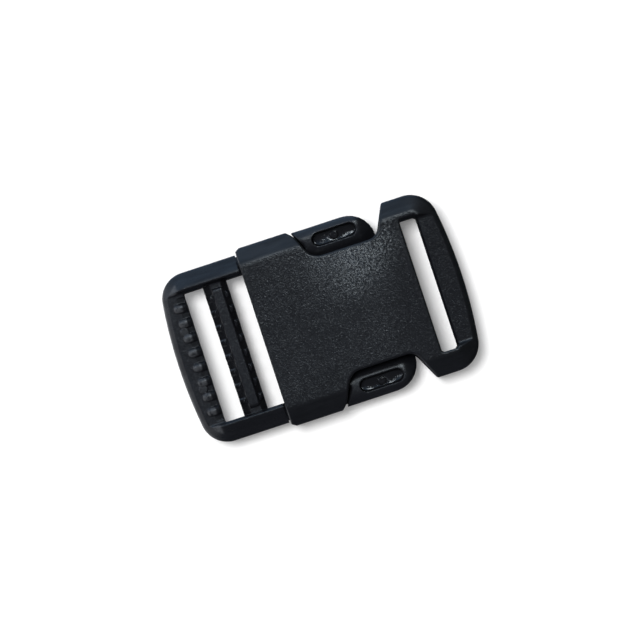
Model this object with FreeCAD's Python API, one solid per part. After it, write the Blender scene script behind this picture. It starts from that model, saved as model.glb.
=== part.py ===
"""Side-release buckle for 25 mm webbing, latched: a socket with a sewn-strap bar, and a plug with a two-slot
strap slider and two sprung latch arms.

Millimetres. +X runs from the plug's end bar to the socket's tail, +Y across the strap, +Z up.
The origin is the centre of the latched buckle. Each sub-part is written to parts/NODE.step.
"""

import FreeCAD, Part
import math
import os

V = FreeCAD.Vector

# ---- driving dimensions -------------------------------------------------------------------------------
WEBBING_W = 25.0                                # strap width the buckle is made for
SLOT_HALF = WEBBING_W / 2 + 0.5                 # half the length of each strap slot
LENGTH = 57.1                                   # end bar to tail, latched
END_X = LENGTH / 2
MIRROR_XZ = V(0, 1, 0)
MIRROR_XY = V(0, 0, 1)
FAR = 60.0                                      # longer than the buckle, for cutting tools

# socket shell
SOCKET_H = 4.5                                  # half thickness
SOCKET_W = 17.9                                 # half width at the mouth
TAIL_W = 17.6                                   # half width behind the windows
SPLIT_X = 8.0                                   # the two widths meet here, inside the windows
MOUTH_X = -11.4                                 # face the plug enters through
MOUTH_CORNER = (0.9, 0.6)                       # x and y size of the cut-off corners beside the mouth
SIDE_H = 2.6                                    # half height of the upright side band
SLOPE_IN = 3.4                                  # how far the sloping shoulder reaches inwards
TAIL_R = 5.4                                    # tail's plan corner radius
TAIL_BOW_R = 92.0                               # radius of the bowed tail edge
CREST_R = 2.0                                   # rounding where the shoulders meet the flat faces
SIDE_R = 1.4                                    # rounding where the shoulders meet the side bands
MOUTH_R = 0.35                                  # rounding of the socket's front face
MOUTH_LEAD = 0.4                                # chamfer that leads into the mouth
PLATE_T = 1.6                                   # top and bottom plate thickness
WALL_T = 1.2                                    # side wall thickness beside the mouth
CAVITY_H = SOCKET_H - PLATE_T                   # half height of the space between the plates
CAVITY_W = SOCKET_W - WALL_T                    # half width of the mouth
CAVITY_CHAMFER = (1.6, 0.9)                      # y and z size of the mouth's chamfered corners
CAVITY_END_X = 16.0                             # back wall
BAR_IN_X = 23.6                                 # tail slot, side next to the bar
TAIL_SLOT = 3.4                                 # tail slot width along X
TAIL_SLOT_R = 0.65
TAIL_SLOT_HALF = SLOT_HALF + 0.3
TAIL_WALL_LEAN = 0.5                            # how far the walls beside the sewn-strap bar lean, dy over dz
TAIL_BAR_H = 3.2                                # half thickness of the sewn-strap bar
TAIL_BAR_SIDE_Y = 12.6                          # where the wall beside the bar starts, at the bar's flat top
TAIL_BAR_R = 0.6                                # rounding between that wall and the bar
SLOT_EDGE_R = 0.45                              # rounding of the tail slot's edges
GUIDE_RIB_X = (-4.0, 16.5)                      # ribs inside the socket that guide the plug's tongue
GUIDE_RIB_Y = (3.45, 4.95)
GUIDE_RIB_R = 0.7
RIB_SINK = 0.2                                  # how far the guide ribs reach into the plates

# finger windows in the socket's sides
LEDGE_X = -0.6                                  # latch ledge, at the socket's side
LEDGE_SLANT = 0.48                              # dx over dy of the ledge, which leans so that it hooks
LEDGE_LEAD_Y = 16.8                             # the ledge's outer corner is cut off at 45 degrees from here
LEDGE_LEAD_R = 1.2
WINDOW_FLOOR_Y = 11.55                          # how far the windows reach inwards
WINDOW_END_X = 18.2                             # tail shoulder, at the socket's side
WINDOW_FRONT_R = 3.0
WINDOW_BACK_R = 2.5
WINDOW_EDGE_R = 0.5
GAP_LIP_X = (-0.4, 0.5)                         # lip on the lower plate that closes the latch gap from below
GAP_LIP_Y = (12.6, 17.0)
GAP_LIP_T = 0.6

# plug frame
PLUG_H = 3.6                                    # half thickness at the rails' crests
PLUG_W = 16.9                                   # half width
RAIL_SIDE_H = 1.3                               # half height of the rails' upright side band
RAIL_SLOPE_IN = 3.0
RAIL_WALL_LEAN = 0.3                            # how far the rails' inner walls lean, dy over dz
RAIL_IN_Y = 13.0                                # rails' inner face, at the end bar's flat top
RAIL_CREST_R = 1.7
RAIL_SIDE_R = 1.0
RAIL_FOOT_R = 0.4                               # rounding between the rails' inner walls and the end bar
RAIL_TOP_R = 0.3
PLUG_R = 5.2                                    # end bar's plan corner radius
PLUG_BOW_R = 95.0
RAIL_END_X = MOUTH_X - 0.35                     # the rails stop short of the socket's mouth
OUTER_SLOT = (-23.4, -19.5)                     # x range of the slot beside the end bar
INNER_SLOT = (-14.8, -11.0)                     # x range of the slot beside the mouth
SLOT_R = 0.3
BASE_X = -9.2                                   # inner face of the cross bar that carries the arms
BASE_GAP = 0.25                                 # clearance between the plug and the socket's mouth
END_BAR_H = 2.2                                 # half thickness of the end bar
TEETH = 8
TOOTH_PITCH = 2.95
TOOTH_R = 1.0
TOOTH_X = -25.15                                # centre of the teeth's round outer ends
TOOTH_BEND_X = -24.55                           # the teeth run level to here, then fall towards the slot
TOOTH_Z = 1.8
TOOTH_FALL = 0.45                               # dz over dx of the falling part
END_SLOPE_X = -24.9                             # the end bar's inner edge slopes down from here to the slot
END_SLOPE_Z = 1.75                              # and reaches this height at the slot
END_SLOPE_HALF = 12.3
PIN_PAD_AT = (-25.35, 5.75)                     # x and y of the round ejector pin pads on the end bar
PIN_PAD_R = 0.85
PIN_PAD_H = 0.22
PIN_PAD_EDGE_R = 0.12
STRAP_EDGE_H = 0.4                              # half thickness of the strap bar at the slots
STRAP_SHOULDER_H = 2.15                         # half thickness where its slopes meet the rib
STRAP_RIB = (-17.95, -15.9)                     # x range of the raised rib on the strap bar
STRAP_RIB_HALF = 12.1
STRAP_RIB_TOP = 2.6
STRAP_RIB_END_R = 0.8
STRAP_RIB_EDGE_R = 0.3
RIDGE_R = 0.8                                   # fine ridges down the strap bar's slopes
RIDGE_SINK = 0.55
TONGUE_W = 3.2
TONGUE_H = 2.5
TONGUE_END_X = 12.5
TONGUE_END_R = 2.4
TONGUE_EDGE_R = 0.6
TONGUE_WALL = 1.3                               # wall left beside the tongue's cored faces
TONGUE_CORE_R = 0.8
TONGUE_CORE_X = (-6.5, 9.5)
TONGUE_WEB = 0.9                                # half thickness left between the tongue's two cored faces
ROOT_END_X = -7.6

# latch arms
PIVOT_X = -7.0                                  # where the sprung arm's bending acts like a hinge
PIVOT_Y = 13.95
KNUCKLE_R = 1.05                                # half the arm's thickness at the root
KNUCKLE_GAP = 0.05
BEAM_H = 2.2                                    # half height of the springy beam
HEAD_H = 2.65                                   # half height of the button
HEAD_W = 17.55                                  # outer face of the button
HEAD_IN_Y = 10.4                                # inner face of the button
HEAD_R = 5.35                                   # plan radius of the button's back corner
HEAD_END_X = 15.25
HEAD_EDGE_R = 1.3                               # rounding of the button's long outer edges
BEAM_BEND_R = 3.0                               # rounding where the beam's inner face changes direction
NOTCH_R = 0.7                                   # rounding between the shoulder and the beam
HEAD_FRONT_X = 5.0                              # where the button's inner face meets the beam
NECK_X = 1.5                                    # thinnest part of the beam
NECK_IN_Y = 11.4
NECK_OUT_Y = 13.05
BEAM_END_X = -1.2                               # the beam's faces ramp up to the button's from here
SHOULDER_GAP = 0.25                             # gap between ledge and button, latched
POCKET_X = (3.3, 12.0)                          # moulding pocket in the button
POCKET_Y = 14.7
POCKET_R = 1.3
POCKET_FLOOR = 0.85                             # half thickness of the web between the two pockets
POCKET_FLOOR_R = 0.95                           # rounding between the pocket's walls and floor
PIN_MARK_R = 0.8                                # round mark on the pocket's floor
PIN_MARK_H = 0.3


# ---- helpers ------------------------------------------------------------------------------------------
def rounded_wire(corners, z=0.0):
    """Closed wire through (x, y, radius) corners at height z, with an arc at each corner of radius > 0."""
    count = len(corners)
    ends = []
    for i, (x, y, radius) in enumerate(corners):
        here = V(x, y, z)
        before = V(corners[i - 1][0], corners[i - 1][1], z) - here
        after = V(corners[(i + 1) % count][0], corners[(i + 1) % count][1], z) - here
        before.normalize()
        after.normalize()
        half = before.getAngle(after) / 2
        if radius <= 0 or abs(half - math.pi / 2) < 1e-6:
            ends.append((here, here, here))
            continue
        inwards = before + after
        inwards.normalize()
        run = radius / math.tan(half)
        middle = here + inwards * (radius / math.sin(half) - radius)
        ends.append((here + before * run, middle, here + after * run))
    edges = []
    for i in range(count):
        start, middle, end = ends[i]
        if start.distanceToPoint(end) > 1e-6:
            edges.append(Part.Arc(start, middle, end).toShape())
        following = ends[(i + 1) % count][0]
        if end.distanceToPoint(following) > 1e-6:
            edges.append(Part.makeLine(end, following))
    return Part.Wire(edges)


def prism(corners, low, high):
    """Upright prism over a rounded outline."""
    return Part.Face(rounded_wire(corners, low)).extrude(V(0, 0, high - low))


def box(x, y, z):
    """Box over three (low, high) ranges."""
    return Part.makeBox(x[1] - x[0], y[1] - y[0], z[1] - z[0], V(x[0], y[0], z[0]))


def profile_along_x(points, x0, x1):
    """Prism along X over a (y, z) outline."""
    wire = Part.makePolygon([V(x0, y, z) for y, z in points + points[:1]])
    return Part.Face(wire).extrude(V(x1 - x0, 0, 0))


def profile_along_y(points, y0, y1):
    """Prism along Y over an (x, z) outline."""
    wire = Part.makePolygon([V(x, y0, z) for x, z in points + points[:1]])
    return Part.Face(wire).extrude(V(0, y1 - y0, 0))


def with_mirror(shape, normal):
    """The shape fused with its mirror image through the origin."""
    return shape.fuse(shape.mirror(V(0, 0, 0), normal))


def mirrored_pair(shape, normal):
    """The shape and its mirror image, as a list of tools."""
    return [shape, shape.mirror(V(0, 0, 0), normal)]


def edges_where(shape, test):
    """Edges whose every sampled point passes test(point)."""
    found = []
    for edge in shape.Edges:
        points = edge.discretize(5)
        if all(test(point) for point in points):
            found.append(edge)
    return found


def rounded(shape, radius, test):
    """Fillets the edges that test picks."""
    return shape.makeFillet(radius, edges_where(shape, test))


def near(value, target, slack=0.02):
    return abs(value - target) < slack


def bowed_wire(x_flat, x_end, half_width, corner_r, bow_r, inset, z):
    """Plan outline of half the buckle, shrunk by inset: square at x_flat, bowed and round-cornered at x_end.

    The bowed edge is a circle of bow_r whose middle is at x_end. It meets each side in a corner arc.
    """
    sign = 1 if x_end > x_flat else -1
    side = half_width - inset
    corner = corner_r - inset
    bow = bow_r - inset
    bow_centre = V(x_end - sign * bow_r, 0, z)
    corner_y = side - corner
    reach = math.sqrt((bow - corner) ** 2 - corner_y ** 2)
    corner_centre = V(bow_centre.x + sign * reach, corner_y, z)
    outwards = corner_centre - bow_centre
    outwards.normalize()
    touch = corner_centre + outwards * corner
    start = V(corner_centre.x, side, z)
    between = (touch - corner_centre) + (start - corner_centre)
    between.normalize()
    middle = corner_centre + between * corner
    tip = V(bow_centre.x + sign * bow, 0, z)

    def flip(p):
        return V(p.x, -p.y, p.z)

    flat = V(x_flat, side, z)
    return Part.Wire([
        Part.makeLine(flip(flat), flip(start)),
        Part.Arc(flip(start), flip(middle), flip(touch)).toShape(),
        Part.Arc(flip(touch), tip, touch).toShape(),
        Part.Arc(touch, middle, start).toShape(),
        Part.makeLine(start, flat),
        Part.makeLine(flat, flip(flat)),
    ])


def sloped_block(x_flat, x_end, half_width, corner_r, bow_r, side_h, slope_in, top_h):
    """Block, square at x_flat, whose sides stand upright to side_h and then slope in to the flat faces."""
    x_long = x_flat - (1 if x_end > x_flat else -1)
    low = bowed_wire(x_long, x_end, half_width, corner_r, bow_r, 0, side_h)
    high = bowed_wire(x_long, x_end, half_width, corner_r, bow_r, slope_in, top_h)
    upper = Part.Face(low).extrude(V(0, 0, -side_h)).fuse(Part.makeLoft([low, high], True, True))
    whole = with_mirror(upper, MIRROR_XY)
    span = (x_flat, x_end + 1) if x_end > x_flat else (x_end - 1, x_flat)
    return whole.common(box(span, (-FAR, FAR), (-FAR, FAR))).removeSplitter()


def on_outline(corners, inner_y):
    """Test for edges that a cut over this outline leaves on a block's outside, but not its upright seams."""
    wire = rounded_wire(corners)

    def test(edge):
        points = edge.discretize(5)
        upright = points[0].distanceToPoint(V(points[-1].x, points[-1].y, points[0].z)) < 1e-3
        if upright and abs(points[0].y) < inner_y:
            return False
        return all(wire.distToShape(Part.Vertex(V(p.x, abs(p.y), 0)))[0] < 1e-3 for p in points)

    return test


# ---- socket -------------------------------------------------------------------------------------------
def ledge_x(y, at_side=LEDGE_X):
    """X of the slanting latch ledge at a given |y|."""
    return at_side + LEDGE_SLANT * (SOCKET_W - y)


def window_corners():
    """Plan outline of one finger window: hooked latch ledge, straight floor, slanting tail shoulder."""
    out_y = SOCKET_W + 2
    floor_y = WINDOW_FLOOR_Y
    return [
        (ledge_x(LEDGE_LEAD_Y) - (out_y - LEDGE_LEAD_Y), out_y, 0),
        (ledge_x(LEDGE_LEAD_Y), LEDGE_LEAD_Y, LEDGE_LEAD_R),
        (ledge_x(floor_y), floor_y, WINDOW_FRONT_R),
        (WINDOW_END_X - LEDGE_SLANT * (SOCKET_W - floor_y), floor_y, WINDOW_BACK_R),
        (WINDOW_END_X + LEDGE_SLANT * (out_y - SOCKET_W), out_y, 0),
    ]


def cavity_section(gap=0.0):
    """(y, z) section of the socket's mouth, shrunk by gap. Its corners follow the sloping shoulders."""
    side = CAVITY_W - gap
    high = CAVITY_H - gap
    flat = side - CAVITY_CHAMFER[0]
    low = high - CAVITY_CHAMFER[1]
    return [(-side, -low), (-flat, -high), (flat, -high), (side, -low),
            (side, low), (flat, high), (-flat, high), (-side, low)]


def tail_slot_corners():
    x0, x1 = BAR_IN_X - TAIL_SLOT, BAR_IN_X
    y, r = TAIL_SLOT_HALF, TAIL_SLOT_R
    return [(x0, -y, r), (x1, -y, r), (x1, y, r), (x0, y, r)]


def bar_recess(x0, x1, half_y, floor_z, top_z, wall_lean):
    """Tool that lowers a strap bar to floor_z between the corners beside it, whose walls lean outwards."""
    reach = top_z + 1 - floor_z
    lean = wall_lean * reach
    over_y, over_z = half_y + lean, floor_z + reach
    section = [(-half_y, floor_z), (half_y, floor_z), (over_y, over_z), (-over_y, over_z)]
    return profile_along_x(section, x0, x1)


def shell(half_width):
    """Solid outer form of the socket at one half width, without its windows and openings."""
    block = sloped_block(MOUTH_X, END_X, half_width, TAIL_R, TAIL_BOW_R, SIDE_H, SLOPE_IN, SOCKET_H)
    crest_y = half_width - SLOPE_IN
    block = rounded(block, CREST_R, lambda p: near(abs(p.z), SOCKET_H) and
                    (p.x > MOUTH_X + 0.01 or near(abs(p.y), crest_y)))
    return rounded(block, SIDE_R, lambda p: near(abs(p.z), SIDE_H))


def mouth_corner():
    """Tool that cuts off the socket's corner beside the mouth."""
    x, y = MOUTH_CORNER
    outer = (MOUTH_X - x, SOCKET_W + y, 0)
    return prism([outer, (MOUTH_X - x, SOCKET_W - 2 * y, 0), (MOUTH_X + 2 * x, SOCKET_W + y, 0)], -FAR, FAR)


def gap_lip():
    """Lip along the latch ledge, below the button's shoulder, trimmed to the socket's outer form."""
    back, front = GAP_LIP_X
    y0, y1 = GAP_LIP_Y
    outline = [(ledge_x(y1) + back, y1, 0), (ledge_x(y1) + front, y1, 0),
               (ledge_x(y0) + front, y0, 0), (ledge_x(y0) + back, y0, 0)]
    return prism(outline, -CAVITY_H - GAP_LIP_T, -CAVITY_H).common(shell(SOCKET_W))


def socket():
    front = shell(SOCKET_W).common(box((-FAR, SPLIT_X), (-FAR, FAR), (-FAR, FAR)))
    front = front.cut(mirrored_pair(mouth_corner(), MIRROR_XZ))
    front = rounded(front, MOUTH_R, lambda p: near(p.x, MOUTH_X))
    back = shell(TAIL_W).common(box((SPLIT_X, FAR), (-FAR, FAR), (-FAR, FAR)))
    block = front.fuse(back)
    block = block.cut(mirrored_pair(prism(window_corners(), -FAR, FAR), MIRROR_XZ))
    block = block.removeSplitter()
    on_window = on_outline(window_corners(), SOCKET_W - 0.1)
    block = block.makeFillet(WINDOW_EDGE_R, [edge for edge in block.Edges if on_window(edge)])

    recess = bar_recess(BAR_IN_X - TAIL_SLOT / 2, FAR, TAIL_BAR_SIDE_Y, TAIL_BAR_H, SOCKET_H, TAIL_WALL_LEAN)
    recess = rounded(recess, TAIL_BAR_R, lambda p: near(abs(p.y), TAIL_BAR_SIDE_Y) and near(p.z, TAIL_BAR_H))
    block = block.cut(mirrored_pair(recess, MIRROR_XY))
    block = block.cut(prism(tail_slot_corners(), -FAR, FAR))
    on_slot = on_outline(tail_slot_corners(), FAR)
    block = block.makeFillet(SLOT_EDGE_R, [edge for edge in block.Edges if on_slot(edge)])

    block = block.cut(profile_along_x(cavity_section(), MOUTH_X - 1, CAVITY_END_X))
    lip = edges_where(block, lambda p: near(p.x, MOUTH_X) and abs(p.y) < CAVITY_W + 0.1 and
                      abs(p.z) < CAVITY_H + 0.1)
    block = block.makeChamfer(MOUTH_LEAD, lip)
    x0, x1 = GUIDE_RIB_X
    y0, y1 = GUIDE_RIB_Y
    rib_h = CAVITY_H + RIB_SINK
    rib = prism([(x0, y0, GUIDE_RIB_R), (x1, y0, 0), (x1, y1, 0), (x0, y1, GUIDE_RIB_R)], -rib_h, rib_h)
    extras = mirrored_pair(rib, MIRROR_XZ) + mirrored_pair(gap_lip(), MIRROR_XZ)
    return block.fuse(extras).removeSplitter()


# ---- plug frame ---------------------------------------------------------------------------------------
def tooth_rows():
    """Y of each tooth, evenly spaced about the centre line."""
    return [(i - (TEETH - 1) / 2) * TOOTH_PITCH for i in range(TEETH)]


def slot_cut(x_range):
    """Tool for one of the plug's strap slots."""
    x0, x1 = x_range
    y = SLOT_HALF
    return prism([(x0, -y, SLOT_R), (x1, -y, SLOT_R), (x1, y, SLOT_R), (x0, y, SLOT_R)], -FAR, FAR)


def outer_frame():
    """Rails and end bar, with the bars' level lowered between the rails."""
    block = sloped_block(RAIL_END_X, -END_X, PLUG_W, PLUG_R, PLUG_BOW_R, RAIL_SIDE_H, RAIL_SLOPE_IN, PLUG_H)
    crest_y = PLUG_W - RAIL_SLOPE_IN
    block = rounded(block, RAIL_CREST_R, lambda p: near(abs(p.z), PLUG_H) and
                    (p.x < RAIL_END_X - 0.01 or near(abs(p.y), crest_y)))
    block = rounded(block, RAIL_SIDE_R, lambda p: near(abs(p.z), RAIL_SIDE_H))
    recess = bar_recess(-FAR, FAR, RAIL_IN_Y, END_BAR_H, PLUG_H, RAIL_WALL_LEAN)
    recess = rounded(recess, RAIL_FOOT_R, lambda p: near(abs(p.y), RAIL_IN_Y) and near(p.z, END_BAR_H))
    block = block.cut(mirrored_pair(recess, MIRROR_XY))
    wall_top = RAIL_IN_Y + RAIL_WALL_LEAN * (PLUG_H - END_BAR_H)
    return rounded(block, RAIL_TOP_R, lambda p: near(abs(p.z), PLUG_H) and near(abs(p.y), wall_top))


def end_bar_slopes():
    """Tool pair that slopes the end bar's inner edge down to the outer slot."""
    past_x = OUTER_SLOT[0] + 1
    over = END_BAR_H + 1
    drop = (END_BAR_H - END_SLOPE_Z) / (OUTER_SLOT[0] - END_SLOPE_X)
    section = [(END_SLOPE_X, END_BAR_H), (END_SLOPE_X, over), (past_x, over), (past_x, END_SLOPE_Z - drop)]
    return mirrored_pair(profile_along_y(section, -END_SLOPE_HALF, END_SLOPE_HALF), MIRROR_XY)


def teeth():
    """Round-ended teeth on both faces of the end bar: level, then bent down towards the outer slot."""
    found = []
    for y in tooth_rows():
        start = V(TOOTH_X, y, TOOTH_Z)
        bend = V(TOOTH_BEND_X, y, TOOTH_Z)
        tooth = Part.makeCylinder(TOOTH_R, bend.x - start.x, start, V(1, 0, 0))
        fall = Part.makeCylinder(TOOTH_R, OUTER_SLOT[0] - TOOTH_BEND_X + 1, bend, V(1, 0, -TOOTH_FALL))
        tooth = tooth.fuse([Part.makeSphere(TOOTH_R, start), Part.makeSphere(TOOTH_R, bend), fall])
        found += mirrored_pair(tooth, MIRROR_XY)
    return found


def pin_pads():
    """Low round pads that the mould's ejector pins leave on the end bar."""
    x, y = PIN_PAD_AT
    high = END_BAR_H + PIN_PAD_H
    pad = Part.makeCylinder(PIN_PAD_R, 2 * high, V(x, y, -high))
    pad = rounded(pad, PIN_PAD_EDGE_R, lambda p: near(abs(p.z), high))
    return mirrored_pair(pad, MIRROR_XZ)


def grip_ridges():
    """Fine ridges down the strap bar's slopes, in line with the end bar's teeth."""
    found = []
    for edge_x, rib_x in ((OUTER_SLOT[1], STRAP_RIB[0]), (INNER_SLOT[0], STRAP_RIB[1])):
        for y in tooth_rows():
            foot = V(edge_x, y, STRAP_EDGE_H - RIDGE_SINK)
            head = V(rib_x, y, STRAP_SHOULDER_H - RIDGE_SINK)
            rod = Part.makeCylinder(RIDGE_R, (head - foot).Length, foot, head - foot)
            found += mirrored_pair(rod.fuse(Part.makeSphere(RIDGE_R, foot)), MIRROR_XY)
    keep = box((OUTER_SLOT[1], INNER_SLOT[0]), (-SLOT_HALF, SLOT_HALF), (-STRAP_RIB_TOP, STRAP_RIB_TOP))
    return [ridge.common(keep) for ridge in found]


def strap_bar():
    """Bar between the slots: a raised rib that stops short of the rails, and slopes down to both slots."""
    x0, x1 = OUTER_SLOT[1], INNER_SLOT[0]
    r0, r1 = STRAP_RIB
    low, high = STRAP_EDGE_H, STRAP_SHOULDER_H
    section = [(x0, -low), (x0, low), (r0, high), (r1, high), (x1, low), (x1, -low), (r1, -high), (r0, -high)]
    bar = profile_along_y(section, -SLOT_HALF - 0.5, SLOT_HALF + 0.5)
    rib = box(STRAP_RIB, (-STRAP_RIB_HALF, STRAP_RIB_HALF), (-STRAP_RIB_TOP, STRAP_RIB_TOP))
    rib = rounded(rib, STRAP_RIB_END_R,
                  lambda p: near(abs(p.z), STRAP_RIB_TOP) and near(abs(p.y), STRAP_RIB_HALF))
    rib = rounded(rib, STRAP_RIB_EDGE_R, lambda p: near(abs(p.z), STRAP_RIB_TOP))
    return bar.fuse([rib] + grip_ridges())


def cross_bar():
    """Bar just inside the socket's mouth that joins the rails and carries the tongue and the arm roots."""
    bar = profile_along_x(cavity_section(BASE_GAP), RAIL_END_X - 0.4, BASE_X)
    return bar.cut(box((-FAR, INNER_SLOT[1]), (-SLOT_HALF, SLOT_HALF), (-FAR, FAR)))


def tongue():
    """Middle tongue that runs between the socket's guide ribs, cored on both faces."""
    x0, x1 = BASE_X - 0.5, TONGUE_END_X
    y, r = TONGUE_W, TONGUE_END_R
    bar = prism([(x0, -y, 0), (x1, -y, r), (x1, y, r), (x0, y, 0)], -TONGUE_H, TONGUE_H)
    bar = rounded(bar, TONGUE_EDGE_R, lambda p: near(abs(p.z), TONGUE_H) and p.x > BASE_X)
    x0, x1 = TONGUE_CORE_X
    y, r = TONGUE_W - TONGUE_WALL, TONGUE_CORE_R
    core = prism([(x0, -y, r), (x1, -y, r), (x1, y, r), (x0, y, r)], TONGUE_WEB, FAR)
    return bar.cut(mirrored_pair(core, MIRROR_XY))


def arm_root():
    """Stub on the cross bar, hollowed to let the arm's knuckle turn in it."""
    y = (PIVOT_Y - KNUCKLE_R, PIVOT_Y + KNUCKLE_R)
    stub = box((BASE_X - 0.5, ROOT_END_X), y, (-BEAM_H, BEAM_H))
    hollow = Part.makeCylinder(KNUCKLE_R + KNUCKLE_GAP, FAR, V(PIVOT_X, PIVOT_Y, -FAR / 2))
    return stub.cut(hollow)


def plug_frame():
    middle = box((OUTER_SLOT[1] - 0.5, FAR), (-SLOT_HALF, SLOT_HALF), (-FAR, FAR))
    frame = outer_frame().cut(end_bar_slopes()).fuse(teeth() + pin_pads())
    frame = frame.cut([slot_cut(OUTER_SLOT), middle])
    frame = frame.fuse([strap_bar(), cross_bar(), tongue()] + mirrored_pair(arm_root(), MIRROR_XZ))
    return frame.removeSplitter()


# ---- latch arms ---------------------------------------------------------------------------------------
def shoulder_x(y):
    """X of the button's shoulder, parallel to the latch ledge."""
    return ledge_x(y) + SHOULDER_GAP


def arm_corners():
    """Plan outline of the left arm: tapering beam, slanting shoulder, button with a round back corner."""
    root_x = PIVOT_X
    return [
        (root_x, PIVOT_Y - KNUCKLE_R, 0),
        (NECK_X, NECK_IN_Y, BEAM_BEND_R),
        (HEAD_FRONT_X, HEAD_IN_Y, BEAM_BEND_R),
        (HEAD_END_X, HEAD_IN_Y, HEAD_EDGE_R + 0.35),
        (HEAD_END_X, HEAD_W, HEAD_R),
        (shoulder_x(HEAD_W), HEAD_W, 0),
        (shoulder_x(NECK_OUT_Y), NECK_OUT_Y, NOTCH_R),
        (root_x, PIVOT_Y + KNUCKLE_R, 0),
    ]


def latch_arm():
    """Left arm, on the +Y side."""
    arm = prism(arm_corners(), -HEAD_H, HEAD_H)
    arm = rounded(arm, HEAD_EDGE_R, lambda p: near(abs(p.z), HEAD_H) and near(p.y, HEAD_W))
    lower = [(-FAR, BEAM_H), (-FAR, FAR), (BEAM_END_X + FAR - BEAM_H, FAR), (BEAM_END_X, BEAM_H)]
    arm = arm.cut(mirrored_pair(profile_along_y(lower, -FAR, FAR), MIRROR_XY))
    x0, x1 = POCKET_X
    y0, y1 = POCKET_Y - POCKET_R, POCKET_Y + POCKET_R
    r = POCKET_R - 0.01
    pocket = prism([(x0, y0, r), (x1, y0, r), (x1, y1, r), (x0, y1, r)], POCKET_FLOOR, HEAD_H + 1)
    pocket = rounded(pocket, POCKET_FLOOR_R, lambda p: near(p.z, POCKET_FLOOR))
    arm = arm.cut(mirrored_pair(pocket, MIRROR_XY))
    pin_h = POCKET_FLOOR + PIN_MARK_H
    pin = Part.makeCylinder(PIN_MARK_R, 2 * pin_h, V(sum(POCKET_X) / 2, POCKET_Y, -pin_h))
    knuckle = Part.makeCylinder(KNUCKLE_R, 2 * BEAM_H, V(PIVOT_X, PIVOT_Y, -BEAM_H))
    return arm.fuse([pin, knuckle]).removeSplitter()


def build_all():
    left = latch_arm()
    pieces = {
        "socket": socket(),
        "plug_frame": plug_frame(),
        "latch_arm_left": left,
        "latch_arm_right": left.mirror(V(0, 0, 0), MIRROR_XZ),
    }
    os.makedirs("parts", exist_ok=True)
    for node, shape in pieces.items():
        print(node, "valid", shape.isValid(), "solids", len(shape.Solids), "faces", len(shape.Faces),
              "volume", round(shape.Volume, 1))
        shape.exportStep("parts/" + node + ".step")


build_all()
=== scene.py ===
import math

import bpy
import numpy as np
from mathutils import Matrix, Vector


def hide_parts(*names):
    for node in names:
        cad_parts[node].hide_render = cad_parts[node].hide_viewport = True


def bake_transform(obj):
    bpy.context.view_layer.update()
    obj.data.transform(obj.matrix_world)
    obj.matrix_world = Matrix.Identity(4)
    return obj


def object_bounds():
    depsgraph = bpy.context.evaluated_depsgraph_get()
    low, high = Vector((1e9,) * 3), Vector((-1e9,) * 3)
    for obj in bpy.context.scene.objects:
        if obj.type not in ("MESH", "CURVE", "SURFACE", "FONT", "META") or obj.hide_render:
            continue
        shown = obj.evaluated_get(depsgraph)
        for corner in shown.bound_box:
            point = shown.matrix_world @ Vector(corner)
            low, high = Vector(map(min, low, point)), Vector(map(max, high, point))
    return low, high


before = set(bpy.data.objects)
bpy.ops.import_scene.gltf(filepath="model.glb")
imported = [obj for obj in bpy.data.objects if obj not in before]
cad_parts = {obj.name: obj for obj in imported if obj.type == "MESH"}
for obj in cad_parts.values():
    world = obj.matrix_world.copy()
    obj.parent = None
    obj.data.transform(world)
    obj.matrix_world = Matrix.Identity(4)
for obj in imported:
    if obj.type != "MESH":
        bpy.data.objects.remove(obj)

cad_low, cad_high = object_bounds()

MM = 0.001


# ---- latch arms ---------------------------------------------------------------------------------------
# Each arm is one moulding with the plug and bends as a spring. Here it is a mesh of its own, in place of the
# arm in model.glb. It is the surface of a distance field, in millimetres, for the +Y side.
ARM_GRID = 0.125                                # step of the field's grid
ARM_LOW = np.array([-10.6, 10.0, -2.95])        # corners of the grid
ARM_HIGH = np.array([15.7, 18.0, 2.95])
LEAST_STEEPNESS = 0.05                          # keeps points from leaping where the field is flat
BEAM_H = 2.2                                    # half height of the springy beam
HEAD_H = 2.65                                   # half height of the button before its face falls away
HEAD_RISE = (-1.6, 0.4)                         # x range in which the beam rises to the button
OUTER_FALL = (15.95, 0.75)                      # y where the face starts to fall outwards, and the slope
INNER_FALL = (13.2, 0.62)                       # the same inwards
INNER_BEND = 1.1                                # softness of that start
BACK_FALL = (12.6, 0.6)                         # x where it starts to fall towards the back, and the slope
LEAST_H = 0.5                                   # least half height that the falls leave
EDGE_R = 0.75                                   # rounding of the button's outer edges
FINE_R = 0.35                                   # rounding of the arm's other edges
EDGE_CHANGE_X = (0.0, 2.0)                      # the rounding changes over these ranges
EDGE_CHANGE_Y = (13.2, 15.2)
POCKET_A = np.array([4.6, 14.7])                # centres of the pocket's round ends
POCKET_B = np.array([10.7, 14.7])
POCKET_R = 1.3
POCKET_FLOOR = 0.85                             # half thickness of the web between the two pockets
POCKET_FLOOR_R = 0.4                            # rounding where the pocket's wall meets its bottom
POCKET_TROUGH_R = 2.6                           # radius of the pocket's hollow bottom
POCKET_BLEND = 0.22                             # softness of the pocket's rim
RIPPLE_H = 0.10                                 # height of the broad ripples in the pocket's bottom
RIPPLE_X = (1.15, 0.9)                          # radians per millimetre along the pocket, and the phase
RIPPLE_Y = (1.7, 0.5)                           # radians per millimetre across it, and the slant
FINE_RIPPLE_H = 0.03
FINE_RIPPLE_X = (2.9, 1.1)                      # radians per millimetre, and the phase, whose sign follows z
PIN_AT = np.array([7.65, 14.75])                # ejector-pin mark
PIN_R = 0.8
PIN_H = 0.34
PIN_EDGE = 0.12                                 # rounding of its rim and foot


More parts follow.
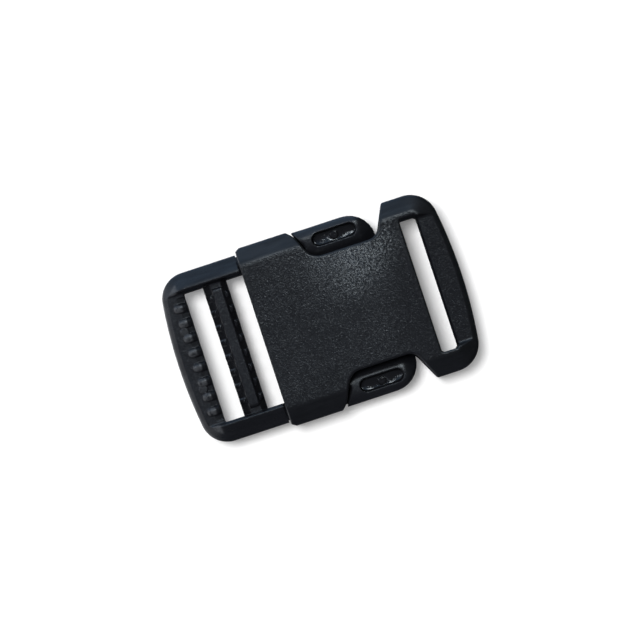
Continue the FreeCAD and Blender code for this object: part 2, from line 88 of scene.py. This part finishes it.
def arc(centre, radius, start, end, count):
    """Points along an arc, angles in degrees."""
    turns = np.radians(np.linspace(start, end, count))
    return [(centre[0] + radius * math.cos(t), centre[1] + radius * math.sin(t)) for t in turns]


def corner(before, at, after, radius, count=8):
    """Points that round one corner of an outline."""
    at = np.array(at, float)
    a = np.array(before, float) - at
    b = np.array(after, float) - at
    a /= np.linalg.norm(a)
    b /= np.linalg.norm(b)
    half = math.acos(max(-1.0, min(1.0, float(a @ b)))) / 2
    run = radius / math.tan(half)
    inwards = (a + b) / np.linalg.norm(a + b)
    centre = at + inwards * radius / math.sin(half)
    start, end = at + a * run, at + b * run
    u, v = start - centre, end - centre
    turn = math.acos(max(-1.0, min(1.0, float(u @ v) / radius**2)))
    side = 1 if u[0] * v[1] - u[1] * v[0] > 0 else -1
    first = math.degrees(math.atan2(u[1], u[0]))
    return arc(centre, radius, first, first + side * math.degrees(turn), count)


def rounded_outline(corners):
    """Points of a closed outline through corners given as x, y and radius."""
    points = []
    for i, (x, y, radius) in enumerate(corners):
        if radius <= 0:
            points.append((x, y))
            continue
        points += corner(corners[i - 1][:2], (x, y), corners[(i + 1) % len(corners)][:2], radius)
    return np.array(points)


# root, beam's inner side, button's inner face, back corners, shoulder, beam's outer side, root
ARM_OUTLINE = rounded_outline([
    (-10.3, 12.0, 0), (-9.15, 12.0, 0), (-8.3, 12.78, 0.6), (1.5, 11.4, 3.0), (5.0, 10.4, 3.0),
    (15.25, 10.4, 1.65), (15.25, 17.55, 5.35), (-0.18, 17.55, 0.12), (1.98, 13.05, 0.7), (-8.0, 15.12, 1.0),
    (-9.15, 15.95, 0), (-10.3, 15.95, 0),
])


def outline_distance(x, y, outline):
    """Signed distance to a closed outline, negative inside."""
    nearest = np.full(x.shape, 1e9)
    inside = np.zeros(x.shape, bool)
    for (ax, ay), (bx, by) in zip(outline, np.roll(outline, -1, axis=0)):
        ex, ey = bx - ax, by - ay
        t = np.clip(((x - ax) * ex + (y - ay) * ey) / (ex * ex + ey * ey + 1e-12), 0, 1)
        nearest = np.minimum(nearest, np.hypot(x - ax - t * ex, y - ay - t * ey))
        crosses = (ay > y) != (by > y)
        with np.errstate(divide="ignore", invalid="ignore"):
            inside ^= crosses & (x < (bx - ax) * (y - ay) / (by - ay) + ax)
    return np.where(inside, -nearest, nearest)


def smooth_step(value, low, high):
    t = np.clip((value - low) / (high - low), 0, 1)
    return t * t * (3 - 2 * t)


def smooth_max(a, b, k):
    h = np.clip(0.5 + 0.5 * (a - b) / k, 0, 1)
    return b + (a - b) * h + k * h * (1 - h)


def smooth_min(a, b, k):
    return -smooth_max(-a, -b, k)


def rounded_both(a, b, radius):
    """Distance to the overlap of two half spaces whose shared edge is rounded."""
    u, v = a + radius, b + radius
    return np.minimum(np.maximum(u, v), 0) + np.hypot(np.maximum(u, 0), np.maximum(v, 0)) - radius


def soft_ramp(value, bend=0.6):
    """Almost zero below 0 and a slope of one above it, with a smooth bend."""
    return 0.5 * (value + np.sqrt(value * value + bend * bend))


def arm_half_height(x, y):
    """Half height of the beam, and of the button with its domed face."""
    outer = OUTER_FALL[1] * soft_ramp(y - OUTER_FALL[0])
    inner = INNER_FALL[1] * soft_ramp(INNER_FALL[0] - y, INNER_BEND)
    back = BACK_FALL[1] * soft_ramp(x - BACK_FALL[0])
    crown = np.maximum(HEAD_H - outer - inner - back, LEAST_H)
    return BEAM_H + (crown - BEAM_H) * smooth_step(x, *HEAD_RISE)


def edge_radius(x, y):
    """Rounding of the arm's long edges, larger on the button's outer side."""
    extra = (EDGE_R - FINE_R) * smooth_step(y, *EDGE_CHANGE_Y)
    return FINE_R + extra * smooth_step(x, *EDGE_CHANGE_X)


def pocket_field(x, y, z):
    """Distance to the round-ended pockets in the button's two faces, whose hollow bottoms are rippled."""
    along = np.clip((x - POCKET_A[0]) / (POCKET_B[0] - POCKET_A[0]), 0, 1)
    axis_x = POCKET_A[0] + along * (POCKET_B[0] - POCKET_A[0])
    stadium = np.hypot(x - axis_x, y - POCKET_A[1]) - POCKET_R
    broad = RIPPLE_H * np.sin(RIPPLE_X[0] * x + RIPPLE_X[1]) * np.sin(RIPPLE_Y[0] * y + RIPPLE_Y[1] * x)
    fine = FINE_RIPPLE_H * np.sin(FINE_RIPPLE_X[0] * x + FINE_RIPPLE_X[1] * np.sign(z))
    trough = (y - POCKET_A[1]) ** 2 / (2 * POCKET_TROUGH_R)
    bottom = POCKET_FLOOR + trough + (broad + fine)
    return rounded_both(stadium, bottom - np.abs(z), POCKET_FLOOR_R)


def arm_field(x, y, z):
    """Distance to the left arm's surface, negative inside."""
    plan = outline_distance(x[:, :, :1], y[:, :, :1], ARM_OUTLINE)
    body = rounded_both(plan + 0 * z, np.abs(z) - arm_half_height(x, y), edge_radius(x, y))
    body = smooth_max(body, -pocket_field(x, y, z), POCKET_BLEND)
    pin_side = np.hypot(x - PIN_AT[0], y - PIN_AT[1]) - PIN_R
    pin = rounded_both(pin_side, np.abs(z) - POCKET_FLOOR - PIN_H, PIN_EDGE)
    return smooth_min(body, pin, PIN_EDGE)


def cell_points(value, axes, step):
    """One point in each cell that the surface crosses, and the cells' point numbers, -1 where empty."""
    cells = tuple(n - 1 for n in value.shape)
    total = np.zeros(cells + (3,))
    hits = np.zeros(cells)
    spots = [(i, j, k) for i in (0, 1) for j in (0, 1) for k in (0, 1)]

    def at(spot):
        return value[spot[0]:spot[0] + cells[0], spot[1]:spot[1] + cells[1], spot[2]:spot[2] + cells[2]]

    for a in spots:
        for axis in range(3):
            if a[axis]:
                continue
            b = tuple(1 if i == axis else a[i] for i in range(3))
            va, vb = at(a), at(b)
            crossed = (va < 0) != (vb < 0)
            t = np.where(crossed, va / np.where(crossed, va - vb, 1), 0)
            for i in range(3):
                total[..., i] += np.where(crossed, a[i] + (t if i == axis else 0), 0)
            hits += crossed
    used = hits > 0
    index = np.full(cells, -1)
    index[used] = np.arange(used.sum())
    origin = np.stack(np.meshgrid(*[line[:-1] for line in axes], indexing="ij"), -1)
    return origin[used] + total[used] / hits[used][:, None] * step, index


def cell_faces(value, index, axis):
    """Outward quads, one for each grid edge along the axis that the surface crosses."""
    u, v = [i for i in range(3) if i != axis]
    here = [slice(1, n - 1) for n in value.shape]
    ahead = list(here)
    here[axis] = slice(0, value.shape[axis] - 1)
    ahead[axis] = slice(1, value.shape[axis])
    va, vb = value[tuple(here)], value[tuple(ahead)]
    crossed = (va < 0) != (vb < 0)
    where = np.argwhere(crossed)
    where[:, u] += 1
    where[:, v] += 1
    ring = []
    for du, dv in ((-1, -1), (0, -1), (0, 0), (-1, 0)):
        cell = where.copy()
        cell[:, u] += du
        cell[:, v] += dv
        ring.append(index[cell[:, 0], cell[:, 1], cell[:, 2]])
    quads = np.stack(ring, -1)
    outwards = va[crossed] < 0
    if axis == 1:
        outwards = ~outwards
    quads[~outwards] = quads[~outwards][:, ::-1]
    return quads


def field_surface(low, high, step, field):
    """Points and quads of a field's zero surface, by surface nets."""
    counts = np.ceil((high - low) / step).astype(int) + 1
    axes = [low[i] + step * np.arange(counts[i]) for i in range(3)]
    value = field(*np.meshgrid(*axes, indexing="ij"))
    points, index = cell_points(value, axes, step)
    return points, np.concatenate([cell_faces(value, index, axis) for axis in range(3)])


def settle(points, field, step, rounds=3):
    """Moves the points onto the field's zero surface."""
    small = step * 0.2

    def value(p):
        return field(p[:, 0][:, None, None], p[:, 1][:, None, None], p[:, 2][:, None, None])[:, 0, 0]

    for _ in range(rounds):
        here = value(points)
        slope = [(value(points + small * e) - value(points - small * e)) / (2 * small) for e in np.eye(3)]
        slope = np.stack(slope, -1)
        steepness = np.maximum((slope**2).sum(1), LEAST_STEEPNESS)
        move = slope * (here / steepness)[:, None]
        size = np.linalg.norm(move, axis=1)
        points = points - move * np.minimum(1, step / np.maximum(size, 1e-9))[:, None]
    return points


def make_arms():
    """The left arm, and its mirror image on the right."""
    points, faces = field_surface(ARM_LOW, ARM_HIGH, ARM_GRID, arm_field)
    points = settle(points, arm_field, ARM_GRID)
    made = []
    for name, sign in (("latch_arm_left", 1), ("latch_arm_right", -1)):
        mesh = bpy.data.meshes.new(name + "_flex")
        verts = points * np.array([1, sign, 1]) * MM
        loops = faces if sign > 0 else faces[:, ::-1]
        mesh.from_pydata(verts.tolist(), [], loops.tolist())
        mesh.shade_smooth()
        arm = bpy.data.objects.new(name + "_flex", mesh)
        bpy.context.scene.collection.objects.link(arm)
        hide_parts(name)
        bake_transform(arm)
        made.append(arm)
    return made


# ---- materials ----------------------------------------------------------------------------------------
# Lengths are in millimetres and scales are per millimetre. The mask called flat is one on faces that look up
# or down and zero on the slopes. The plastic is grained on its flat faces and almost smooth elsewhere.
FLAT_FACING = (0.92, 0.995)                     # upward part of the normal, from slope to flat
COARSE_SCALE = 2.7                              # grain
FINE_SCALE = 6.5
FINE_SHARE = 0.5
PIT_SCALE = 3.4
PIT_SHARE = 0.6
SLOPE_GRAIN = 0.10                              # grain left on the slopes, as a share
PATCH_SCALE = 0.16                              # slow change of tone and grain over the part
PATCH_RANGE = (0.3, 0.7)
PATCH_GRAIN = (0.8, 1.15)
FACET_SCALE = 4.2                               # facets of the grain, each with a lean of its own
WAVE_SCALE = (0.16, 0.75, 0.75)                 # moulding waves on the slopes, drawn out lengthwise
WAVE_LEAN = 0.17
WAVE_RANGE = (0.3, 0.7)
WAVE_GLOSS = (0.38, 0.58)                       # specular level across the waves
FACE_GLOSS = (0.5, 0.5, 0.5, 1)                 # specular level on the flat faces
EDGE_SOFT = 0.30                                # radius that softens the shading of every edge
WEAR_R = 0.16                                   # how near an edge is rubbed
WEAR_TURN = (0.99, 0.90)                        # cosine between the true and the softened normal
WEAR_BREAK = (0.35, 0.65, 0.3, 1.0)             # the coarse grain breaks up the wear
WEAR_TONE = 0.6
WEAR_GLOSS = 0.06
SCUFF_TURN = 0.5                                # radians
SCUFF_STRETCH = (0.35, 5.0, 1)
SCUFF_RANGE = (0.63, 0.72)
SCUFF_GLOSS = 0.10
FINE_ROUGH = 0.16                               # change of roughness with the fine grain
LIGHT_TONE = 1.35                               # light patches, times the base colour
RUBBED_TONE = (2.2, 0.004)                      # rubbed edges, times the base colour and then plus
REFRACTION = 1.49
SOCKET_BLACK = (0.0040, 0.0043, 0.0052)
PLUG_BLACK = (0.0042, 0.0045, 0.0056)

# the sheen on the socket's top, beside the left window, and the slight droop of the face towards the tail
SPOT_AT = (9.6, 10.8, 0)
SPOT_SQUASH = (0.9, 1.0, 0)
SPOT_REACH = 12.5
SPOT_RAGGED = 6.0
SPOT_TILT = (0.04, 0.22, 0)
SPOT_LEAN = (0.62, 1.10)                        # facet lean outside and inside the sheen, as shares
SPOT_FULL = 0.8                                 # amount of sheen at which the facets lean fully
SPOT_GLOSS = 0.10
TAIL_X = (11.0, 19.0)
TAIL_DROOP = (0, -0.07, 0)

# where the plug's plastic is polished or rubbed; the rubbed teeth's tops are also lighter in colour as a
# painted highlight
POCKET_MID_X = float(POCKET_A[0] + POCKET_B[0]) / 2
POCKET_HALF = float(POCKET_B[0] - POCKET_A[0]) / 2
POCKET_RIM = (0.05, -0.15)                      # the polish fades between these distances from the wall
POCKET_SINK = (0.3, 0.6)                        # and these depths below the button's face
TEETH_TOP = (2.3, 2.62)                         # the rubbing and its painted highlight grow to full between these heights
TEETH_OUTER_X = (-26.4, -25.9)                  # and fades out in these ranges at the teeth's two ends
TEETH_INNER_X = (-24.0, -24.5)
TEETH_UNEVEN_SCALE = 1.6
TEETH_UNEVEN_RANGE = (0.25, 0.6)


class Graph:
    """Short calls that add nodes to one node tree."""

    def __init__(self, tree):
        self.tree = tree
        tree.nodes.clear()

    def node(self, kind, inputs=(), **settings):
        """Adds a node. A value that is another node's output is linked, and any other value is set."""
        made = self.tree.nodes.new(kind)
        for key, value in settings.items():
            setattr(made, key, value)
        for socket, value in dict(inputs).items():
            target = made.inputs[socket]
            if isinstance(value, bpy.types.NodeSocket):
                self.tree.links.new(value, target)
            else:
                target.default_value = value
        return made

    def math(self, operation, a, b=0.0, clamp=False):
        return self.node("ShaderNodeMath", {0: a, 1: b}, operation=operation, use_clamp=clamp).outputs[0]

    def vector(self, operation, a, b=(0, 0, 0)):
        return self.node("ShaderNodeVectorMath", {0: a, 1: b}, operation=operation).outputs["Vector"]

    def measure(self, operation, a, b=(0, 0, 0)):
        """A vector operation whose result is one number."""
        return self.node("ShaderNodeVectorMath", {0: a, 1: b}, operation=operation).outputs["Value"]

    def scale(self, vector, amount):
        made = self.node("ShaderNodeVectorMath", {0: vector, "Scale": amount}, operation="SCALE")
        return made.outputs["Vector"]

    def axes(self, vector):
        return self.node("ShaderNodeSeparateXYZ", {0: vector}).outputs

    def span(self, value, low, high, to_low=0.0, to_high=1.0):
        """A smooth change from to_low to to_high as the value goes from low to high."""
        inputs = {"Value": value, "From Min": low, "From Max": high, "To Min": to_low, "To Max": to_high}
        return self.node("ShaderNodeMapRange", inputs, interpolation_type="SMOOTHSTEP").outputs["Result"]

    def noise(self, vector, scale, detail=2.0, rough=0.5, distort=0.0):
        """The outputs of a noise texture: its value first, then its colour."""
        inputs = {"Vector": vector, "Scale": scale, "Detail": detail, "Roughness": rough}
        return self.node("ShaderNodeTexNoise", {**inputs, "Distortion": distort}).outputs

    def cells(self, vector, scale):
        return self.node("ShaderNodeTexVoronoi", {"Vector": vector, "Scale": scale}, feature="F1").outputs

    def bevel(self, radius, samples):
        """The normal as it would be with every edge rounded."""
        return self.node("ShaderNodeBevel", {"Radius": radius * MM}, samples=samples).outputs[0]

    def lean(self, normal, colour, amount):
        """The normal leant at random by a colour whose middle is grey."""
        off_grey = self.vector("SUBTRACT", colour, (0.5, 0.5, 0.5))
        return self.vector("ADD", normal, self.scale(off_grey, amount))

    def mix(self, factor, a, b):
        """Mix of two colours, or of two numbers held as colours."""
        return self.node("ShaderNodeMix", {"Factor": factor, 6: a, 7: b}, data_type="RGBA").outputs[2]


def new_material(name):
    """An empty material and its graph."""
    material = bpy.data.materials.new(name)
    material.use_nodes = True
    return material, Graph(material.node_tree)


def sheen_amount(g, place, patch, flat):
    """One in the middle of the sheen, falling to zero with a ragged edge."""
    away = g.vector("MULTIPLY", g.vector("SUBTRACT", place, SPOT_AT), SPOT_SQUASH)
    ragged = g.math("MULTIPLY", g.math("SUBTRACT", patch, 0.5), SPOT_RAGGED)
    far = g.math("ADD", g.measure("LENGTH", away), ragged)
    return g.math("MULTIPLY", g.span(far, SPOT_REACH, 0.0), flat)


def sheen_normal(g, normal, place, flat, amount):
    """The normal, drooping towards the tail and tilted in the sheen."""
    tail = g.math("MULTIPLY", g.span(g.axes(place)["X"], *TAIL_X), flat)
    normal = g.vector("ADD", normal, g.scale(TAIL_DROOP, tail))
    return g.vector("ADD", normal, g.scale(SPOT_TILT, amount))


def edge_wear(g, coarse):
    """One on edges that stand out enough to be rubbed."""
    true_normal = g.node("ShaderNodeNewGeometry").outputs["Normal"]
    turn = g.measure("DOT_PRODUCT", g.bevel(WEAR_R, samples=6), true_normal)
    return g.math("MULTIPLY", g.span(turn, *WEAR_TURN), g.span(coarse, *WEAR_BREAK))


def scuff_marks(g, place):
    """One on fine scuffs that all run the same way."""
    inputs = {"Vector": place, "Rotation": (0, 0, SCUFF_TURN), "Scale": SCUFF_STRETCH}
    drawn = g.node("ShaderNodeMapping", inputs).outputs[0]
    return g.span(g.noise(drawn, 1.0, detail=4.0, rough=0.65, distort=0.6)[0], *SCUFF_RANGE)


def plastic(name, grain_depth, facet_lean, face_rough, slope_rough, base, sheen=False, polish_and_highlight=None):
    """Moulded black plastic: grained faces, satin slopes, fine scuffs and slightly rubbed edges."""
    material, g = new_material(name)
    coords = g.node("ShaderNodeTexCoord").outputs
    place = g.scale(coords["Object"], 1 / MM)
    flat = g.span(g.math("ABSOLUTE", g.axes(coords["Normal"])["Z"]), *FLAT_FACING)
    patch = g.noise(place, PATCH_SCALE)[0]
    coarse = g.noise(place, COARSE_SCALE, rough=0.6, distort=0.3)[0]
    fine = g.noise(place, FINE_SCALE, rough=0.6)[0]
    pits = g.math("MULTIPLY", g.cells(place, PIT_SCALE)["Distance"], PIT_SHARE)
    waves = g.noise(g.vector("MULTIPLY", place, WAVE_SCALE), 1.0, detail=3.0)
    edge = edge_wear(g, coarse)

    normal = g.bevel(EDGE_SOFT, samples=8)
    facet = g.math("MULTIPLY", flat, facet_lean)
    if sheen:
        amount = sheen_amount(g, place, patch, flat)
        facet = g.math("MULTIPLY", facet, g.span(amount, 0, SPOT_FULL, *SPOT_LEAN))
        normal = sheen_normal(g, normal, place, flat, amount)
    normal = g.lean(normal, g.cells(place, FACET_SCALE)["Color"], facet)
    normal = g.lean(normal, waves["Color"], g.span(flat, 0, 1, WAVE_LEAN, 0.0))
    height = g.math("ADD", g.math("ADD", coarse, g.math("MULTIPLY", fine, FINE_SHARE)), pits)
    share = g.span(flat, 0, 1, SLOPE_GRAIN, 1.0)
    depth = g.math("MULTIPLY", share, g.span(patch, *PATCH_RANGE, *PATCH_GRAIN))
    bump = g.node("ShaderNodeBump", {"Strength": depth, "Distance": grain_depth * MM, "Height": height,
                                     "Normal": g.vector("NORMALIZE", normal)})

    gloss = g.mix(flat, g.span(waves[0], *WAVE_RANGE, *WAVE_GLOSS), FACE_GLOSS)
    rough = g.span(flat, 0, 1, slope_rough, face_rough)
    rough = g.math("ADD", rough, g.math("MULTIPLY", g.math("SUBTRACT", fine, 0.5), FINE_ROUGH))
    rough = g.math("SUBTRACT", rough, g.math("MULTIPLY", scuff_marks(g, place), SCUFF_GLOSS))
    rough = g.math("SUBTRACT", rough, g.math("MULTIPLY", edge, WEAR_GLOSS), clamp=True)
    if sheen:
        rough = g.math("SUBTRACT", rough, g.math("MULTIPLY", amount, SPOT_GLOSS))

    light = tuple(c * LIGHT_TONE for c in base)
    lightened = tuple(c * RUBBED_TONE[0] + RUBBED_TONE[1] for c in base)
    colour = g.mix(g.span(patch, *PATCH_RANGE), (*base, 1), (*light, 1))
    colour = g.mix(g.math("MULTIPLY", edge, WEAR_TONE), colour, (*lightened, 1))
    # polished or rubbed places; the rubbed teeth's lighter colour is a painted highlight
    if polish_and_highlight:
        mask = polish_and_highlight["mask"](g, place)
        rough = g.mix(mask, rough, (polish_and_highlight["rough"],) * 3 + (1,))
        colour = g.mix(mask, colour, (*polish_and_highlight["colour"], 1))
    shader = g.node("ShaderNodeBsdfPrincipled", {"Base Color": colour, "Roughness": rough, "IOR": REFRACTION,
                                                 "Specular IOR Level": gloss, "Normal": bump.outputs[0]})
    g.node("ShaderNodeOutputMaterial", {"Surface": shader.outputs[0]})
    return material


def pocket_mask(g, place):
    """One inside the button's moulding pocket, whose polished core left it glossier."""
    across = g.axes(g.vector("ABSOLUTE", place))
    along = g.math("SUBTRACT", g.math("ABSOLUTE", g.math("SUBTRACT", across["X"], POCKET_MID_X)), POCKET_HALF)
    along = g.math("MAXIMUM", along, 0.0)
    side = g.math("SUBTRACT", across["Y"], float(POCKET_A[1]))
    far = g.math("SQRT", g.math("ADD", g.math("MULTIPLY", along, along), g.math("MULTIPLY", side, side)))
    inside = g.span(far, POCKET_R + POCKET_RIM[0], POCKET_R + POCKET_RIM[1])
    return g.math("MULTIPLY", inside, g.span(across["Z"], HEAD_H - POCKET_SINK[0], HEAD_H - POCKET_SINK[1]))


def teeth_rub_and_highlight_mask(g, place):
    """One on the tops of the end bar's teeth, which the strap has rubbed and which get a painted highlight in
    a lighter colour.
    """
    spot = g.axes(place)
    high = g.span(g.math("ABSOLUTE", spot["Z"]), *TEETH_TOP)
    on_bar = g.math("MULTIPLY", g.span(spot["X"], *TEETH_OUTER_X), g.span(spot["X"], *TEETH_INNER_X))
    uneven = g.span(g.noise(place, TEETH_UNEVEN_SCALE)[0], *TEETH_UNEVEN_RANGE)
    return g.math("MULTIPLY", high, g.math("MULTIPLY", on_bar, uneven))


def socket_plastic():
    return plastic("socket_plastic", grain_depth=0.05, facet_lean=0.29, face_rough=0.36, slope_rough=0.34,
                   base=SOCKET_BLACK, sheen=True)


def frame_plastic():
    # the teeth's tops are rubbed, and their light colour is a painted highlight
    lightened = {"mask": teeth_rub_and_highlight_mask, "rough": 0.38, "colour": (0.036, 0.038, 0.042)}
    return plastic("frame_plastic", grain_depth=0.035, facet_lean=0.14, face_rough=0.38, slope_rough=0.30,
                   base=PLUG_BLACK, polish_and_highlight=lightened)


def button_plastic():
    glossy = {"mask": pocket_mask, "rough": 0.17, "colour": (0.0045, 0.0047, 0.0054)}
    return plastic("button_plastic", grain_depth=0.03, facet_lean=0.05, face_rough=0.38, slope_rough=0.32,
                   base=PLUG_BLACK, polish_and_highlight=glossy)


def paint(pieces, material):
    """Gives the pieces this material only."""
    for piece in pieces:
        piece.data.materials.clear()
        piece.data.materials.append(material)


# ---- floor, light and camera --------------------------------------------------------------------------
# Lengths are in metres and powers in watts.
FLOOR_HALF = 3.0
FLOOR_DROP = 0.00002                            # the floor is this far below the object
FLOOR_WHITE = (0.86, 0.86, 0.86, 1)
FLOOR_GLOW = 0.15                               # the floor glows a little, like a light table
FLOOR_FILL = 0.34                               # even light from the world on what is lit
WHITE = (1, 1, 1, 1)

VIEW_TURN = math.radians(18.2)                  # the camera's turn about the vertical
CAMERA_LEAN = math.radians(2.0)                 # its lean from straight down
CAMERA_FAR = 0.45
SENSOR_WIDTH = 36                               # millimetres
CLIP = (0.01, 20)
LENGTH_IN_VIEW = 0.464                          # the object's length as a share of the picture's width

KEY_AT = Vector((-0.25, 0.25, 1.26))
KEY_SIZE = 0.50
KEY_POWER = 16.0
KEY_TONE = (1.0, 1.0, 1.0)
SHEEN_AT = (0.08, 0.74, 1.09)                   # right, up and height, as the camera is turned
SHEEN_SIZE = 0.32
SHEEN_POWER = 5.8
SHEEN_TONE = (0.86, 0.95, 1.0)
GLINT_AT = Vector((-0.80, 0.55, 0.88))
GLINT_SIZE = 0.36
GLINT_POWER = 1.8
GLINT_TONE = (0.97, 0.98, 1.0)

# what the plastic reflects in each direction
FRONT_TONE = (0.08, 0.09, 0.12, 1)
OVERHEAD_TONE = (0.11, 0.12, 0.15, 1)
BACK_TONE = (0.37, 0.55, 0.81, 1)
RIGHT_TONE = (0.03, 0.035, 0.04, 1)
BELOW_TONE = (0.012, 0.013, 0.016, 1)
LEFT_TONE = (1.7, 1.75, 1.85, 1)
BACK_WAY = Vector((-0.20, 0.98, 0))
# cosines between which one tone gives way to the next
FRONT_FADE = (-0.75, 0.05)
BACK_FADE = (0.05, 0.85)
RIGHT_FADE = (0.15, 0.7)
BELOW_FADE = (0.5, 0.9)
LEFT_FADE = (0.45, 0.95)
LEFT_LOW_FADE = (-0.45, 0.1)


def make_floor():
    """A white floor that the plastic doesn't reflect, and whose glow only the camera sees."""
    size = FLOOR_HALF
    z = cad_low.z - FLOOR_DROP
    corners = [(-size, -size, z), (size, -size, z), (size, size, z), (-size, size, z)]
    mesh = bpy.data.meshes.new("floor")
    mesh.from_pydata(corners, [], [(0, 1, 2, 3)])
    floor = bpy.data.objects.new("floor", mesh)
    bpy.context.scene.collection.objects.link(floor)
    floor.visible_glossy = False
    material, g = new_material("floor_white")
    paper = g.node("ShaderNodeBsdfDiffuse", {"Color": FLOOR_WHITE})
    seen = g.node("ShaderNodeLightPath").outputs["Is Camera Ray"]
    glow = g.node("ShaderNodeEmission", {"Color": WHITE, "Strength": g.math("MULTIPLY", seen, FLOOR_GLOW)})
    shader = g.node("ShaderNodeAddShader", {0: paper.outputs[0], 1: glow.outputs[0]})
    g.node("ShaderNodeOutputMaterial", {"Surface": shader.outputs[0]})
    mesh.materials.append(material)


def in_view(right, up, height):
    """A point given by its offsets in the picture's own directions."""
    c, s = math.cos(VIEW_TURN), math.sin(VIEW_TURN)
    return Vector((right * c + up * s, -right * s + up * c, height))


def area_light(name, position, size, power, tone):
    """A round soft box that faces the origin."""
    light = bpy.data.lights.new(name, "AREA")
    light.shape = "DISK"
    light.size = size
    light.energy = power
    light.color = tone
    lamp = bpy.data.objects.new(name, light)
    bpy.context.scene.collection.objects.link(lamp)
    lamp.location = position
    lamp.rotation_mode = "QUATERNION"
    lamp.rotation_quaternion = position.to_track_quat("Z", "Y")
    return lamp


def make_lights():
    """The key casts the soft shadow and isn't reflected. The sheen and glint lights are only reflected."""
    key = area_light("key", KEY_AT, KEY_SIZE, KEY_POWER, KEY_TONE)
    key.visible_glossy = False
    sheen = area_light("sheen", in_view(*SHEEN_AT), SHEEN_SIZE, SHEEN_POWER, SHEEN_TONE)
    sheen.visible_diffuse = False
    glint = area_light("glint", GLINT_AT, GLINT_SIZE, GLINT_POWER, GLINT_TONE)
    glint.visible_diffuse = False


def make_world():
    """White fill for what is lit. What is reflected is a dim studio, brighter behind and low on the left."""
    world = bpy.data.worlds.new("studio")
    bpy.context.scene.world = world
    world.use_nodes = True
    g = Graph(world.node_tree)
    direction = g.node("ShaderNodeTexCoord").outputs["Generated"]

    def towards(way):
        """Cosine between the ray and a direction."""
        return g.measure("DOT_PRODUCT", direction, way)

    back = towards(BACK_WAY.normalized())
    right = towards(Vector((1, 0, 0)))
    left = towards(Vector((-1, 0, 0)))
    low = towards(Vector((0, 0, -1)))
    colour = g.mix(g.span(back, *FRONT_FADE), FRONT_TONE, OVERHEAD_TONE)
    colour = g.mix(g.span(back, *BACK_FADE), colour, BACK_TONE)
    colour = g.mix(g.span(right, *RIGHT_FADE), colour, RIGHT_TONE)
    colour = g.mix(g.span(low, *BELOW_FADE), colour, BELOW_TONE)
    low_left = g.math("MULTIPLY", g.span(left, *LEFT_FADE), g.span(low, *LEFT_LOW_FADE))
    colour = g.mix(low_left, colour, LEFT_TONE)
    seen = g.node("ShaderNodeBackground", {"Color": colour, "Strength": 1.0})
    fill = g.node("ShaderNodeBackground", {"Color": WHITE, "Strength": FLOOR_FILL})
    ray = g.node("ShaderNodeLightPath").outputs["Is Diffuse Ray"]
    shader = g.node("ShaderNodeMixShader", {0: ray, 1: seen.outputs[0], 2: fill.outputs[0]})
    g.node("ShaderNodeOutputWorld", {"Surface": shader.outputs[0]})


def make_camera():
    """Looks down at the middle of the object's box, almost from straight above."""
    data = bpy.data.cameras.new("camera")
    camera = bpy.data.objects.new("camera", data)
    bpy.context.scene.collection.objects.link(camera)
    data.sensor_width = SENSOR_WIDTH
    middle = (cad_low + cad_high) / 2
    camera.location = middle + Vector((0, -math.sin(CAMERA_LEAN), math.cos(CAMERA_LEAN))) * CAMERA_FAR
    view_span = (cad_high.x - cad_low.x) / LENGTH_IN_VIEW
    data.lens = data.sensor_width * CAMERA_FAR / view_span
    data.clip_start, data.clip_end = CLIP
    turn = Matrix.Rotation(CAMERA_LEAN, 4, "X") @ Matrix.Rotation(-VIEW_TURN, 4, "Z")
    camera.rotation_euler = turn.to_euler()
    bpy.context.scene.camera = camera


arms = make_arms()
paint([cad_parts["socket"]], socket_plastic())
paint([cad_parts["plug_frame"]], frame_plastic())
paint(arms, button_plastic())
make_floor()
make_lights()
make_world()
make_camera()
bpy.context.scene.view_settings.view_transform = "Standard"
